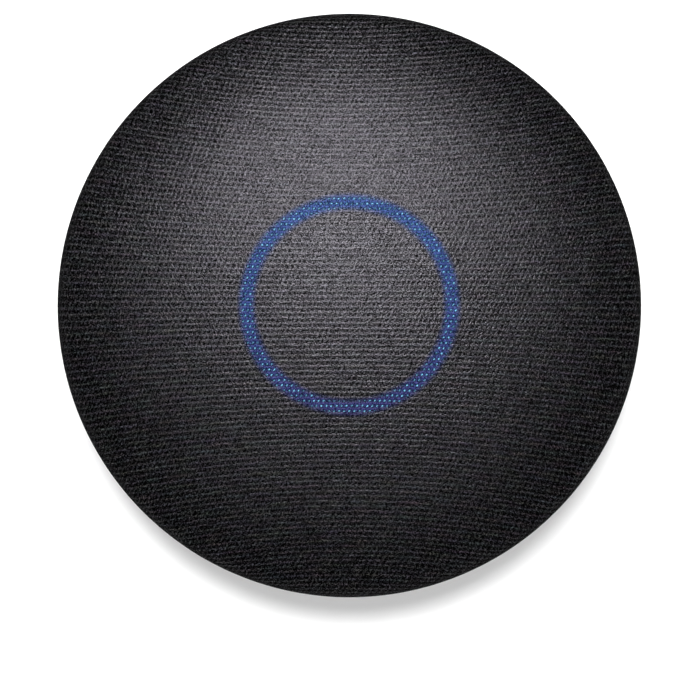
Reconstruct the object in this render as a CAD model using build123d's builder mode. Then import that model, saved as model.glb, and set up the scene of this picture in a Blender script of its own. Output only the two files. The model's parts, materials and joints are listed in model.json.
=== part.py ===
from build123d import *
from math import atan2, degrees, sqrt
import os

# A disc-shaped smart speaker with a cloth-covered, domed front and a ring of light behind the
# cloth. It lies on a rubber ring with its dome upwards. Millimetres, +Z up. The origin is the
# centre of the face it rests on, and +Y is the rear, where the power socket and switch are.

# ---------------------------------------------------------------- driving dimensions
# Outer form
cover_radius = 80.0  # cloth, at the rim
dome_rise = 25.9  # underside of the cover to the top of the dome
rim_round = 5.0  # roundover between the dome and the underside of the cover
cloth = 0.8  # cloth thickness
hem_width = 3.5  # cloth turned in under the cover's flange
glue = 0.1  # gap that a bonded or close-fitted curved face leaves

# Grille behind the cloth
grille_wall = 1.8
flange_width = 4.0  # turned-in flange under the rim
vent_count = 24
vent_width = 2.2
vent_length = 9.0
vent_inset = 11.0  # middle of the vents, inside the case screws' circle
centre_slot = 2.4

# Ring of light
ring_radius = 28.0  # middle of the lit ring
ring_width = 3.8
guide_lip = 1.8  # lip each side of the lit ring
guide_lip_thickness = 1.0
cup_height = 3.0
led_count = 16
led_side = 1.6
led_height = 1.0
ring_board_thickness = 1.0
ring_board_rise = 2.6  # board above the chassis deck

# Microphones
mic_count = 4
mic_port = 1.0
mic_length = 3.4
mic_width = 2.6
mic_height = 1.0
boot_radius = 2.9
boot_gap = 0.4
ring_board_margin = 3.4

# Base housing
foot_proud = 1.2  # rubber below the base
foot_thickness = 2.2
foot_width = 14.5
foot_inset = 6.5  # foot inside the base's lower edge
foot_chamfer = 0.5
base_inset = 3.0  # base's rim inside the cover's
base_taper = 9.0  # how far the side runs in, from the rim to the bottom
base_wall = 2.2
base_corner = 8.0
ledge_drop = 2.0  # seal ledge below the base's rim
seal_inset = 4.4  # inside of the wall that carries the seal, from the cover's flange
chamber_wall = 2.4
pocket_floor_width = 1.6
rim_rib_count = 12
rim_rib_width = 1.6

# Rear bay with the socket and the switch
bay_width = 44.0
panel_inset = 1.6  # bay's panel inside the wall that carries the seal
bay_corner = 2.0
socket_x = -9.0
switch_x = 9.0

# Main board
board_thickness = 1.6
board_rise = 4.6  # board above the base's floor
board_post_radius = 3.0
board_post_inset = 4.6
board_post_angle = 20.0
board_edge_gap = 0.6
board_magnet_gap = 3.0
tab_width = 36.0

# Chassis
chassis_wall = 2.2
seal_thickness = 1.0
skirt_gap = 1.2  # skirt to the case posts
deck_margin = 5.5
flange_gap = 0.6
well_gap = 0.7
boss_gap = 2.3
well_depth = 3.0
rib_count = 8
rib_width = 1.6
rib_reach = 8.0

# Screws
case_screw_radius = 1.5
case_head_radius = 2.8
case_head_height = 2.0
case_screw_bite = 8.0
case_post_cap = 4.0  # post left above the screw's head
case_post_wall = 1.8
case_post_inset = 5.8  # post inside the wall that carries the seal
small_screw_radius = 1.0
small_head_radius = 1.9
small_head_height = 1.2
small_screw_length = 5.0
small_boss_radius = 2.6
head_gap = 0.2  # least gap beside a screw's head
screw_gap = 0.05
hole_slack = 0.2  # clearance hole over a screw

# Loudspeaker driver, 2 inch
driver_floor_gap = 4.0  # yoke above the base's floor
driver_flange_radius = 26.0
driver_land = 4.6  # flange that carries the surround
driver_ear_radius = 3.0
driver_ear_gap = 0.5
driver_sheet = 1.2
driver_opening_gap = 0.6
driver_gasket_thickness = 0.6
surround_width = 4.0
surround_sheet = 0.5
cone_depth = 5.4
cone_sheet = 0.5
cone_land = 1.0
dust_cap_overlap = 1.8
dust_cap_rise = 3.4
dust_cap_sheet = 0.4
spider_sheet = 0.4
spider_wave = 0.7
spider_waves = 2
spider_gap = 1.6  # spider to the cone's lower stop
shelf_width = 2.6
basket_depth = 12.7
magnet_radius = 20.0
magnet_bore = 12.5
magnet_thickness = 6.0
plate_thickness = 3.0
plate_inset = 1.5
yoke_thickness = 2.6
pole_radius = 9.2
pole_vent = 2.5
coil_gap = 0.3
former_thickness = 0.25
winding_thickness = 0.4
coil_height = 4.0
cone_travel = 2.0

# Power socket, mute switch and reset button
socket_width = 9.0
socket_height = 3.3
socket_length = 7.4
socket_shell = 0.3
switch_travel = 2.5
switch_body_length = 9.0
switch_body_depth = 3.6
switch_body_height = 3.6
knob_length = 5.0
knob_height = 2.4
knob_proud = 1.0
stem_length = 1.6
slot_gap = 0.2
reset_inset = 7.0  # button inside the foot
reset_radius = 1.8
reset_flange = 1.0
reset_recess = 0.2
reset_travel = 0.5
reset_switch_side = 5.0
reset_switch_height = 2.6

# Ribbon and speaker leads
ribbon_width = 8.0
ribbon_thickness = 0.3
ribbon_slot = 1.2
ribbon_bend = 2.0
ribbon_socket_height = 1.8
ribbon_socket_margin = 1.0  # socket past each edge of the ribbon
lower_socket_depth = 2.6
upper_socket_depth = 3.0
ribbon_gap = 4.0  # ribbon outside the chassis deck
ribbon_end_gap = 1.6
lead_radius = 0.6
lead_spacing = 2.4
lead_bend = 4.0

# ---------------------------------------------------------------- levels and radii
# From the resting face up through the driver and the ring of light to the dome
base_bottom = foot_proud
floor_top = base_bottom + base_wall
board_bottom = floor_top + board_rise
board_top = board_bottom + board_thickness
yoke_bottom = floor_top + driver_floor_gap
yoke_top = yoke_bottom + yoke_thickness
magnet_top = yoke_top + magnet_thickness
plate_top = magnet_top + plate_thickness
driver_top = plate_top + basket_depth
flange_bottom = driver_top - driver_sheet
seat_z = flange_bottom - driver_gasket_thickness
deck_top = seat_z + well_depth
ring_board_bottom = deck_top + ring_board_rise
ring_board_top = ring_board_bottom + ring_board_thickness
guide_bottom = ring_board_top + cup_height

guide_inner = ring_radius - ring_width / 2
guide_outer = ring_radius + ring_width / 2
lip_inner = guide_inner - guide_lip
lip_outer = guide_outer + guide_lip

# The dome is part of a sphere that is tangent to the rim's roundover
rim_x = cover_radius - rim_round
rim_drop = dome_rise - rim_round
dome_radius = (rim_x**2 + rim_drop**2 - rim_round**2) / (2 * (rim_drop - rim_round))
grille_inset = cloth + glue
inner_inset = grille_inset + grille_wall + glue
lip_top = guide_bottom + guide_lip_thickness
dome_z = lip_top - sqrt((dome_radius - inner_inset) ** 2 - lip_outer**2)
total_height = dome_z + dome_radius
cover_bottom = total_height - dome_rise
rim_z = cover_bottom + rim_round
hem_radius = rim_x - hem_width
flange_radius = rim_x - flange_width

ledge_z = cover_bottom - ledge_drop
chassis_bottom = ledge_z + seal_thickness
chassis_flange_top = chassis_bottom + chassis_wall
chassis_radius = flange_radius - flange_gap
base_top_radius = cover_radius - base_inset
base_bottom_radius = base_top_radius - base_taper
foot_outer_radius = base_bottom_radius - foot_inset
foot_inner_radius = foot_outer_radius - foot_width
chamber_radius = flange_radius - seal_inset

driver_ear_circle = driver_flange_radius + driver_ear_radius + driver_ear_gap
well_radius = driver_ear_circle + driver_ear_radius + well_gap
ring_boss_circle = max(well_radius + boss_gap, lip_outer + small_head_radius + head_gap)
mic_radius = lip_outer + boot_radius + boot_gap
ring_board_outer = max(ring_boss_circle, mic_radius) + ring_board_margin
deck_radius = ring_boss_circle + deck_margin
case_post_radius = case_head_radius + hole_slack + case_post_wall
case_screw_circle = chamber_radius - case_post_inset - case_post_radius
vent_radius = case_screw_circle - vent_inset
skirt_radius = case_screw_circle - case_post_radius - skirt_gap
board_outer = case_screw_circle - case_post_radius - board_edge_gap
board_inner = magnet_radius + board_magnet_gap
board_middle = (board_inner + board_outer) / 2
board_post_circle = board_outer - board_post_inset

panel_y = chamber_radius - panel_inset
panel_inner_y = panel_y - base_wall
bay_bottom = floor_top + base_wall
bay_top = ledge_z - base_wall
socket_z = board_top + socket_height / 2
knob_z = board_top + switch_body_height / 2

basket_mouth = driver_flange_radius - driver_land
driver_opening = basket_mouth + driver_sheet + driver_opening_gap
cone_radius = basket_mouth - surround_width
former_inner = pole_radius + coil_gap
former_outer = former_inner + former_thickness
winding_outer = former_outer + winding_thickness
plate_bore = winding_outer + coil_gap
neck_radius = former_outer + glue
shelf_z = plate_top + driver_sheet + cone_travel + spider_gap
cone_bottom = driver_top - cone_depth
coil_bottom = magnet_top + plate_thickness / 2 - coil_height / 2
ribbon_radius = deck_radius + ribbon_gap
reset_y = reset_inset - foot_inner_radius

pieces = {}


def cover_section(inset):
    """Half section of all that lies inside the cover's outer face set in by inset."""
    turn = degrees(atan2(rim_z - dome_z, rim_x))
    with BuildSketch(Plane.XZ) as section:
        with BuildLine():
            dome = CenterArc((0, dome_z), dome_radius - inset, 90, turn - 90)
            rim = CenterArc((rim_x, rim_z), rim_round - inset, turn, -90 - turn)
            Polyline(rim @ 1, (0, cover_bottom + inset), dome @ 0)
        make_face()
    return section.sketch


def ring_sketch(outer, inner, height):
    """Flat ring at a height."""
    with BuildSketch(Plane.XY.offset(height)) as ring:
        Circle(outer)
        Circle(inner, mode=Mode.SUBTRACT)
    return ring.sketch


def pan_screw(radius, head_radius, head_height, length):
    """A screw pointing down from its head's underside at z = 0."""
    with BuildPart() as screw:
        Cylinder(
            head_radius, head_height, align=(Align.CENTER, Align.CENTER, Align.MIN)
        )
        Cylinder(radius, length, align=(Align.CENTER, Align.CENTER, Align.MAX))
    return screw.part


small_screw = pan_screw(small_screw_radius, small_head_radius, small_head_height, small_screw_length)

# ---------------------------------------------------------------- cover
# Knitted cloth, stretched over the grille, round the rim and in under its flange.
with BuildPart() as fabric_cover:
    revolve(cover_section(0), axis=Axis.Z)
    revolve(cover_section(cloth), axis=Axis.Z, mode=Mode.SUBTRACT)
    with Locations((0, 0, cover_bottom)):
        Cylinder(hem_radius, 4 * cloth, mode=Mode.SUBTRACT)
pieces["fabric_cover"] = fabric_cover

# Moulded grille: slotted dome with a turned-in flange, screw bosses and microphone ports.
with BuildPart() as grille_shell:
    revolve(cover_section(grille_inset), axis=Axis.Z)
    revolve(cover_section(grille_inset + grille_wall), axis=Axis.Z, mode=Mode.SUBTRACT)
    with Locations((0, 0, cover_bottom)):
        Cylinder(flange_radius, 2 * (grille_inset + grille_wall) + 1, mode=Mode.SUBTRACT)
    with BuildSketch(Plane.XY.offset(chassis_flange_top)):
        with PolarLocations(case_screw_circle, 4, start_angle=45):
            Circle(case_screw_radius + case_post_wall)
    extrude(amount=total_height - chassis_flange_top)
    with BuildSketch(Plane.XY.offset(chassis_flange_top)):
        with PolarLocations(case_screw_circle, 4, start_angle=45):
            Circle(case_screw_radius + screw_gap)
    extrude(amount=case_screw_bite + 1, mode=Mode.SUBTRACT)
    with BuildSketch(Plane.XY.offset(rim_z)):
        Circle(guide_outer + glue)
        with PolarLocations(mic_radius, mic_count):
            Circle(mic_port)
        with PolarLocations(vent_radius, vent_count, start_angle=180 / vent_count):
            Rectangle(vent_length, vent_width)
    extrude(amount=total_height, mode=Mode.SUBTRACT)
    revolve(cover_section(grille_inset), axis=Axis.Z, mode=Mode.INTERSECT)
pieces["grille_shell"] = grille_shell

# Slotted disc in the middle of the light ring, over the driver.
slot_pitch = 2 * centre_slot
slot_rows = int((guide_inner - slot_pitch) / slot_pitch)
with BuildPart() as centre_grille:
    revolve(cover_section(grille_inset), axis=Axis.Z)
    revolve(cover_section(grille_inset + grille_wall), axis=Axis.Z, mode=Mode.SUBTRACT)
    with BuildSketch(Plane.XY.offset(rim_z)):
        Circle(guide_inner - glue)
    extrude(amount=total_height, mode=Mode.INTERSECT)
    with BuildSketch(Plane.XY.offset(rim_z)):
        for row in range(slot_rows, 0, -1):
            Circle(row * slot_pitch + centre_slot)
            Circle(row * slot_pitch, mode=Mode.SUBTRACT)
        with PolarLocations(0, 6, start_angle=30):
            Rectangle(2 * guide_inner, 0.8 * centre_slot, mode=Mode.SUBTRACT)
    extrude(amount=total_height, mode=Mode.SUBTRACT)
pieces["centre_grille"] = centre_grille

# ---------------------------------------------------------------- ring of light
with BuildPart() as guide_lips:
    revolve(cover_section(inner_inset), axis=Axis.Z)
    extrude(
        ring_sketch(lip_outer, lip_inner, guide_bottom), amount=total_height, mode=Mode.INTERSECT
    )

# Opal ring whose crown fills the slot between the two grilles.
with BuildPart() as light_guide:
    revolve(cover_section(grille_inset), axis=Axis.Z)
    extrude(
        ring_sketch(guide_outer, guide_inner, guide_bottom), amount=total_height, mode=Mode.INTERSECT
    )
    add(guide_lips.part)
pieces["light_guide"] = light_guide

# White cup with one pocket for each light.
pocket_wall = 1.0
with BuildPart() as light_cup:
    extrude(ring_sketch(lip_outer, lip_inner, ring_board_top), amount=cup_height)
    with BuildSketch(Plane.XY.offset(ring_board_top)):
        Circle(guide_outer - 0.3)
        Circle(guide_inner + 0.3, mode=Mode.SUBTRACT)
        with PolarLocations(ring_radius, led_count, start_angle=180 / led_count):
            Rectangle(2 * ring_width, pocket_wall, mode=Mode.SUBTRACT)
    extrude(amount=cup_height, mode=Mode.SUBTRACT)
pieces["light_cup"] = light_cup

with BuildPart() as ring_leds:
    with BuildSketch(Plane.XY.offset(ring_board_top)):
        with PolarLocations(ring_radius, led_count):
            Rectangle(led_side, led_side)
    extrude(amount=led_height)
pieces["ring_leds"] = ring_leds

# Ring-shaped board on four chassis bosses.
with BuildPart() as ring_board:
    with BuildSketch(Plane.XY.offset(ring_board_bottom)):
        Circle(ring_board_outer)
        Circle(lip_inner, mode=Mode.SUBTRACT)
        with PolarLocations(ring_boss_circle, 4, start_angle=45):
            Circle(small_screw_radius + hole_slack, mode=Mode.SUBTRACT)
    extrude(amount=ring_board_thickness)
pieces["ring_board"] = ring_board

with BuildPart() as ring_board_screws:
    with Locations((0, 0, ring_board_top)):
        with PolarLocations(ring_boss_circle, 4, start_angle=45):
            add(small_screw)
pieces["ring_board_screws"] = ring_board_screws

# Microphones on the ring board, each in a soft boot that reaches the grille.
with BuildPart() as microphones:
    with BuildSketch(Plane.XY.offset(ring_board_top)):
        with PolarLocations(mic_radius, mic_count):
            Rectangle(mic_width, mic_length)
    extrude(amount=mic_height)
pieces["microphones"] = microphones

boot_top = dome_z + sqrt((dome_radius - inner_inset) ** 2 - (mic_radius + boot_radius) ** 2)
with BuildPart() as mic_boots:
    with BuildSketch(Plane.XY.offset(ring_board_top)):
        with PolarLocations(mic_radius, mic_count):
            Circle(boot_radius)
            Circle(mic_port, mode=Mode.SUBTRACT)
    extrude(amount=boot_top - ring_board_top)
    with BuildSketch(Plane.XY.offset(ring_board_top)):
        with PolarLocations(mic_radius, mic_count):
            Rectangle(mic_width + 2 * glue, mic_length + 2 * glue)
    extrude(amount=mic_height + glue, mode=Mode.SUBTRACT)
pieces["mic_boots"] = mic_boots

# ---------------------------------------------------------------- chassis
well_wall = well_radius + chassis_wall
skirt_inner = skirt_radius - chassis_wall


def chassis_rib():
    """Gusset between the skirt and the flange, on the +X side."""
    with BuildPart() as rib:
        with BuildSketch(Plane.XZ.offset(-rib_width / 2)):
            with BuildLine():
                Polyline(
                    (deck_radius, deck_top),
                    (skirt_radius + rib_reach, chassis_flange_top),
                    (skirt_radius - chassis_wall / 2, chassis_flange_top),
                    close=True,
                )
            make_face()
        extrude(amount=rib_width)
    return rib.part


# One moulding that closes the speaker's air space, with a well for the driver in its deck.
with BuildPart() as chassis:
    with BuildSketch(Plane.XZ):
        with BuildLine():
            Polyline(
                (driver_opening, seat_z),
                (well_radius, seat_z),
                (well_radius, deck_top),
                (deck_radius, deck_top),
                (skirt_radius, chassis_flange_top),
                (chassis_radius, chassis_flange_top),
                (chassis_radius, chassis_bottom),
                (skirt_inner, chassis_bottom),
                (deck_radius - chassis_wall, deck_top - chassis_wall),
                (well_wall, deck_top - chassis_wall),
                (well_wall, seat_z - chassis_wall),
                (driver_opening, seat_z - chassis_wall),
                close=True,
            )
        make_face()
    revolve(axis=Axis.Z)
    with PolarLocations(0, rib_count, start_angle=180 / rib_count):
        add(chassis_rib())
    # Bosses for the ring board, above the deck, and for the driver, under its seat
    with BuildSketch(Plane.XY.offset(deck_top)):
        with PolarLocations(ring_boss_circle, 4, start_angle=45):
            Circle(small_boss_radius)
        Circle(well_radius, mode=Mode.SUBTRACT)
    extrude(amount=ring_board_rise)
    with BuildSketch(Plane.XY.offset(seat_z - small_screw_length - 1)):
        with PolarLocations(driver_ear_circle, 4, start_angle=45):
            Circle(small_boss_radius)
    extrude(amount=small_screw_length + 1 - chassis_wall)
    with Locations((0, 0, ring_board_bottom)):
        with PolarLocations(ring_boss_circle, 4, start_angle=45):
            Hole(small_screw_radius + screw_gap, small_screw_length)
    with Locations((0, 0, seat_z)):
        with PolarLocations(driver_ear_circle, 4, start_angle=45):
            Hole(small_screw_radius + screw_gap, small_screw_length)
    with Locations((0, 0, chassis_flange_top)):
        with PolarLocations(case_screw_circle, 4, start_angle=45):
            Hole(case_screw_radius + hole_slack, chassis_wall)
    # Slot for the ribbon to the ring board
    with BuildSketch(Plane.XY.offset(chassis_bottom)):
        with Locations((-ribbon_radius, 0)):
            Rectangle(ribbon_slot, ribbon_width + ribbon_slot)
    extrude(amount=deck_top - chassis_bottom, mode=Mode.SUBTRACT)
pieces["chassis"] = chassis

# Foam ring between the chassis and the base.
with BuildPart() as seal_ring:
    extrude(
        ring_sketch(chamber_radius + chamber_wall, chamber_radius, ledge_z), amount=seal_thickness
    )
pieces["seal_ring"] = seal_ring

# ---------------------------------------------------------------- base housing
wall_slope = (base_top_radius - base_bottom_radius) / (cover_bottom - base_bottom)
skin = base_wall * sqrt(1 + wall_slope**2)
pocket_inner = chamber_radius + chamber_wall
pocket_drop = (base_top_radius - skin - pocket_inner - pocket_floor_width) / wall_slope


def base_section(hollow):
    """Half section of the base, either as a solid bowl or with its hollow and seal ledge."""
    with BuildSketch(Plane.XZ) as section:
        with BuildLine():
            outline = [
                (0, base_bottom),
                (base_bottom_radius, base_bottom),
                (base_top_radius, cover_bottom),
            ]
            if hollow:
                outline += [
                    (flange_radius, cover_bottom),
                    (flange_radius, ledge_z),
                    (chamber_radius, ledge_z),
                    (chamber_radius, floor_top),
                    (0, floor_top),
                ]
            else:
                outline += [(0, cover_bottom)]
            Polyline(*outline, close=True)
        make_face()
        fillet(section.vertices().group_by(Axis.Y)[0].sort_by(Axis.X)[-1], base_corner)
    return section.sketch


# Pockets round the rim, between the wall under the seal and the outer wall
with BuildPart() as rim_pockets:
    with BuildSketch(Plane.XZ):
        with BuildLine():
            Polyline(
                (pocket_inner, cover_bottom),
                (base_top_radius - skin, cover_bottom),
                (pocket_inner + pocket_floor_width, cover_bottom - pocket_drop),
                (pocket_inner, cover_bottom - pocket_drop),
                close=True,
            )
        make_face()
    revolve(axis=Axis.Z)
    with BuildSketch(Plane.XY.offset(base_bottom)):
        with PolarLocations(base_top_radius, rim_rib_count, start_angle=180 / rim_rib_count):
            Rectangle(base_top_radius, rim_rib_width)
    extrude(amount=cover_bottom, mode=Mode.SUBTRACT)

# Walls round the rear bay, kept inside the base's outer form
with BuildPart() as bay_walls:
    revolve(base_section(hollow=False), axis=Axis.Z)
    with BuildSketch(Plane.XY.offset(base_bottom)):
        with Locations((0, panel_inner_y)):
            Rectangle(
                bay_width + 2 * base_wall, base_top_radius, align=(Align.CENTER, Align.MIN)
            )
    extrude(amount=ledge_z - base_bottom, mode=Mode.INTERSECT)

with BuildPart() as base_housing:
    revolve(base_section(hollow=True), axis=Axis.Z)
    add(rim_pockets.part, mode=Mode.SUBTRACT)
    add(bay_walls.part)
    # Posts for the case screws, which reach the chassis, and for the main board
    with BuildSketch(Plane.XY.offset(floor_top)):
        with PolarLocations(case_screw_circle, 4, start_angle=45):
            Circle(case_post_radius)
    extrude(amount=chassis_bottom - floor_top)
    with BuildSketch(Plane.XY.offset(floor_top)):
        with PolarLocations(board_post_circle, 4, start_angle=board_post_angle):
            Circle(board_post_radius)
    extrude(amount=board_rise)
    with Locations((0, 0, board_bottom)):
        with PolarLocations(board_post_circle, 4, start_angle=board_post_angle):
            Hole(small_screw_radius + screw_gap, small_screw_length - board_thickness + 0.5)
    with BuildSketch(Plane.XY.offset(base_bottom)):
        with PolarLocations(case_screw_circle, 4, start_angle=45):
            Circle(case_head_radius + hole_slack)
    extrude(amount=chassis_bottom - case_post_cap - base_bottom, mode=Mode.SUBTRACT)
    with Locations((0, 0, chassis_bottom)):
        with PolarLocations(case_screw_circle, 4, start_angle=45):
            Hole(case_screw_radius + hole_slack, case_post_cap)
    # Recess for the foot, and the bore for the reset button
    extrude(
        ring_sketch(foot_outer_radius + glue, foot_inner_radius - glue, base_bottom),
        amount=foot_thickness - foot_proud,
        mode=Mode.SUBTRACT,
    )
    with Locations((0, reset_y, floor_top)):
        Hole(reset_radius + hole_slack, base_wall)
    # The bay, and the openings in its panel
    with BuildSketch(Plane.XZ.offset(-panel_y)):
        with Locations((0, (bay_bottom + bay_top) / 2)):
            RectangleRounded(bay_width, bay_top - bay_bottom, bay_corner)
    extrude(amount=-base_top_radius, mode=Mode.SUBTRACT)
    with BuildSketch(Plane.XZ.offset(-panel_y)):
        with Locations((socket_x, socket_z)):
            SlotOverall(socket_width + 2 * slot_gap, socket_height + 2 * slot_gap)
        with Locations((switch_x + switch_travel / 2, knob_z)):
            Rectangle(knob_length + switch_travel + 2 * slot_gap, knob_height + 2 * slot_gap)
    extrude(amount=base_wall, mode=Mode.SUBTRACT)
pieces["base_housing"] = base_housing

# Rubber ring that the speaker stands on, over the case screws.
with BuildPart() as rubber_foot:
    extrude(ring_sketch(foot_outer_radius, foot_inner_radius, 0), amount=foot_thickness)
    chamfer(rubber_foot.edges().group_by(Axis.Z)[0], foot_chamfer)
pieces["rubber_foot"] = rubber_foot

case_screw = pan_screw(
    case_screw_radius,
    case_head_radius,
    case_head_height,
    case_post_cap + chassis_wall + case_screw_bite,
)
with BuildPart() as case_screws:
    with Locations((0, 0, chassis_bottom - case_post_cap)):
        with PolarLocations(case_screw_circle, 4, start_angle=45):
            with Locations(Location((0, 0, 0), (180, 0, 0))):
                add(case_screw)
pieces["case_screws"] = case_screws

# ---------------------------------------------------------------- main board
with BuildPart() as main_board:
    with BuildSketch(Plane.XY.offset(board_bottom)):
        Circle(board_outer)
        with Locations((0, panel_inner_y - board_edge_gap)):
            Rectangle(tab_width, panel_inner_y / 2, align=(Align.CENTER, Align.MAX))
        Circle(board_inner, mode=Mode.SUBTRACT)
        with PolarLocations(board_post_circle, 4, start_angle=board_post_angle):
            Circle(small_screw_radius + hole_slack, mode=Mode.SUBTRACT)
    extrude(amount=board_thickness)
pieces["main_board"] = main_board

with BuildPart() as board_screws:
    with Locations((0, 0, board_top)):
        with PolarLocations(board_post_circle, 4, start_angle=board_post_angle):
            add(small_screw)
pieces["board_screws"] = board_screws


def on_board(angle, length, width, height, base=None):
    """Block on the main board: length outwards, width round the ring, its foot at base."""
    with BuildPart() as block:
        with BuildSketch(Plane.XY.offset(board_top if base is None else base)):
            with PolarLocations(board_middle, 1, start_angle=angle):
                Rectangle(length, width)
        extrude(amount=height)
    return block.part


processor_angle = -35.0
processor_side = 13.0
processor_height = 1.4
pad_height = 0.5
sink_base = 1.2
fin_height = 3.6
fin_count = 6
fin_thickness = 0.9
with BuildPart() as processor:
    add(on_board(processor_angle, processor_side, processor_side, processor_height))
pieces["processor"] = processor

pad_bottom = board_top + processor_height
with BuildPart() as thermal_pad:
    add(on_board(processor_angle, processor_side - 1, processor_side - 1, pad_height, pad_bottom))
pieces["thermal_pad"] = thermal_pad

sink_bottom = pad_bottom + pad_height
fin_pitch = (processor_side - fin_thickness) / (fin_count - 1)
with BuildPart() as heat_sink:
    add(on_board(processor_angle, processor_side, processor_side, sink_base, sink_bottom))
    with BuildSketch(Plane.XY.offset(sink_bottom + sink_base)):
        with PolarLocations(board_middle, 1, start_angle=processor_angle):
            with GridLocations(0, fin_pitch, 1, fin_count):
                Rectangle(processor_side, fin_thickness)
    extrude(amount=fin_height)
pieces["heat_sink"] = heat_sink

# Memory, audio amplifier, power regulator and radio
memory_length = 9.0
memory_width = 11.0
memory_height = 1.0
amplifier_side = 7.0
regulator_side = 5.0
radio_side = 7.0
chip_height = 0.9
radio_angle = 60.0
with BuildPart() as board_chips:
    add(on_board(0, memory_length, memory_width, memory_height))
    add(on_board(235, amplifier_side, amplifier_side, chip_height))
    add(on_board(130, regulator_side, regulator_side, chip_height))
    add(on_board(radio_angle, radio_side, radio_side, chip_height))
pieces["board_chips"] = board_chips

can_length = 12.0
can_width = 15.0
can_height = 2.4
can_sheet = 0.3
with BuildPart() as shield_can:
    add(on_board(radio_angle, can_length, can_width, can_height))
    can_hollow = (can_length - 2 * can_sheet, can_width - 2 * can_sheet, can_height - can_sheet)
    add(on_board(radio_angle, *can_hollow), mode=Mode.SUBTRACT)
pieces["shield_can"] = shield_can

capacitor_radius = 3.1
capacitor_height = 6.0
with BuildPart() as capacitors:
    with BuildSketch(Plane.XY.offset(board_top)):
        with PolarLocations(board_middle, 3, start_angle=145, angular_range=26, endpoint=True):
            Circle(capacitor_radius)
    extrude(amount=capacitor_height)
    chamfer(capacitors.edges().group_by(Axis.Z)[-1], 0.3)
pieces["capacitors"] = capacitors

# Two stamped aerials that stand at the board's edge
aerial_length = 14.0
aerial_height = 5.0
aerial_width = 2.4
aerial_sheet = 0.4
with BuildPart() as aerials:
    with BuildSketch(Plane.YZ.offset(board_outer - 1 - aerial_width)) as aerial_outline:
        with BuildLine():
            Polyline(
                (-aerial_length / 2, board_top),
                (-aerial_length / 2, board_top + aerial_height),
                (aerial_length / 2, board_top + aerial_height),
                (aerial_length / 2, board_top + aerial_height - aerial_sheet),
                (aerial_sheet - aerial_length / 2, board_top + aerial_height - aerial_sheet),
                (aerial_sheet - aerial_length / 2, board_top),
                close=True,
            )
        make_face()
    aerial = extrude(amount=aerial_width, mode=Mode.PRIVATE)
    with PolarLocations(0, 2, start_angle=-6, angular_range=162, endpoint=True):
        add(aerial)
pieces["aerials"] = aerials

# ---------------------------------------------------------------- loudspeaker driver
def ear_flange(inner, height):
    """The driver's flange, with four ears for its screws."""
    with BuildSketch(Plane.XY.offset(height)) as flange:
        Circle(driver_flange_radius)
        with PolarLocations(driver_ear_circle, 4, start_angle=45):
            Circle(driver_ear_radius)
        with PolarLocations(driver_ear_circle / 2, 4, start_angle=45):
            Rectangle(driver_ear_circle, 2 * driver_ear_radius)
        Circle(inner, mode=Mode.SUBTRACT)
        with PolarLocations(driver_ear_circle, 4, start_angle=45):
            Circle(small_screw_radius + hole_slack, mode=Mode.SUBTRACT)
    return flange.sketch


with BuildPart() as driver_gasket:
    extrude(ear_flange(driver_opening, seat_z), amount=driver_gasket_thickness)
pieces["driver_gasket"] = driver_gasket

with BuildPart() as driver_screws:
    with Locations((0, 0, driver_top)):
        with PolarLocations(driver_ear_circle, 4, start_angle=45):
            add(small_screw)
pieces["driver_screws"] = driver_screws

# Pressed frame: flange, sloping wall with four windows, spider shelf and foot on the top plate
magnet_ring = magnet_radius - plate_inset
shelf_outer = cone_radius + cone_land
shelf_inner = shelf_outer - shelf_width
with BuildPart() as driver_basket:
    with BuildSketch(Plane.XZ):
        with BuildLine():
            Polyline(
                (basket_mouth, driver_top),
                (basket_mouth, flange_bottom),
                (shelf_outer, shelf_z),
                (shelf_inner, shelf_z),
                (shelf_inner, plate_top + driver_sheet),
                (plate_bore + 1, plate_top + driver_sheet),
                (plate_bore + 1, plate_top),
                (shelf_inner + driver_sheet, plate_top),
                (shelf_inner + driver_sheet, shelf_z - driver_sheet),
                (shelf_outer + driver_sheet, shelf_z - driver_sheet),
                (basket_mouth + driver_sheet, flange_bottom),
                (basket_mouth + driver_sheet, driver_top),
                close=True,
            )
        make_face()
    revolve(axis=Axis.Z)
    extrude(ear_flange(basket_mouth, flange_bottom), amount=driver_sheet)
    with BuildSketch(Plane.XY.offset(shelf_z + 1)):
        with PolarLocations(basket_mouth, 4, start_angle=45):
            Rectangle(basket_mouth / 2, 0.75 * basket_mouth)
    extrude(amount=flange_bottom - shelf_z - 2, mode=Mode.SUBTRACT)
pieces["driver_basket"] = driver_basket

with BuildPart() as top_plate:
    extrude(ring_sketch(magnet_ring, plate_bore, magnet_top), amount=plate_thickness)
pieces["top_plate"] = top_plate

with BuildPart() as magnet:
    extrude(ring_sketch(magnet_radius, magnet_bore, yoke_top), amount=magnet_thickness)
    chamfer(magnet.edges().sort_by(SortBy.LENGTH)[-2:], 0.6)
pieces["magnet"] = magnet

# Back plate and vented pole in one piece
with BuildPart() as yoke:
    with BuildSketch(Plane.XY.offset(yoke_bottom)):
        Circle(magnet_ring)
    extrude(amount=yoke_thickness)
    with BuildSketch(Plane.XY.offset(yoke_top)):
        Circle(pole_radius)
    extrude(amount=plate_top - yoke_top)
    with Locations((0, 0, plate_top)):
        Hole(pole_vent)
pieces["yoke"] = yoke

# Former with its winding, which stands in the gap between the pole and the top plate
with BuildPart() as voice_coil:
    extrude(
        ring_sketch(former_outer, former_inner, coil_bottom),
        amount=cone_bottom + cone_sheet - coil_bottom,
    )
    extrude(ring_sketch(winding_outer, former_outer, coil_bottom), amount=coil_height)
pieces["voice_coil"] = voice_coil

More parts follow.
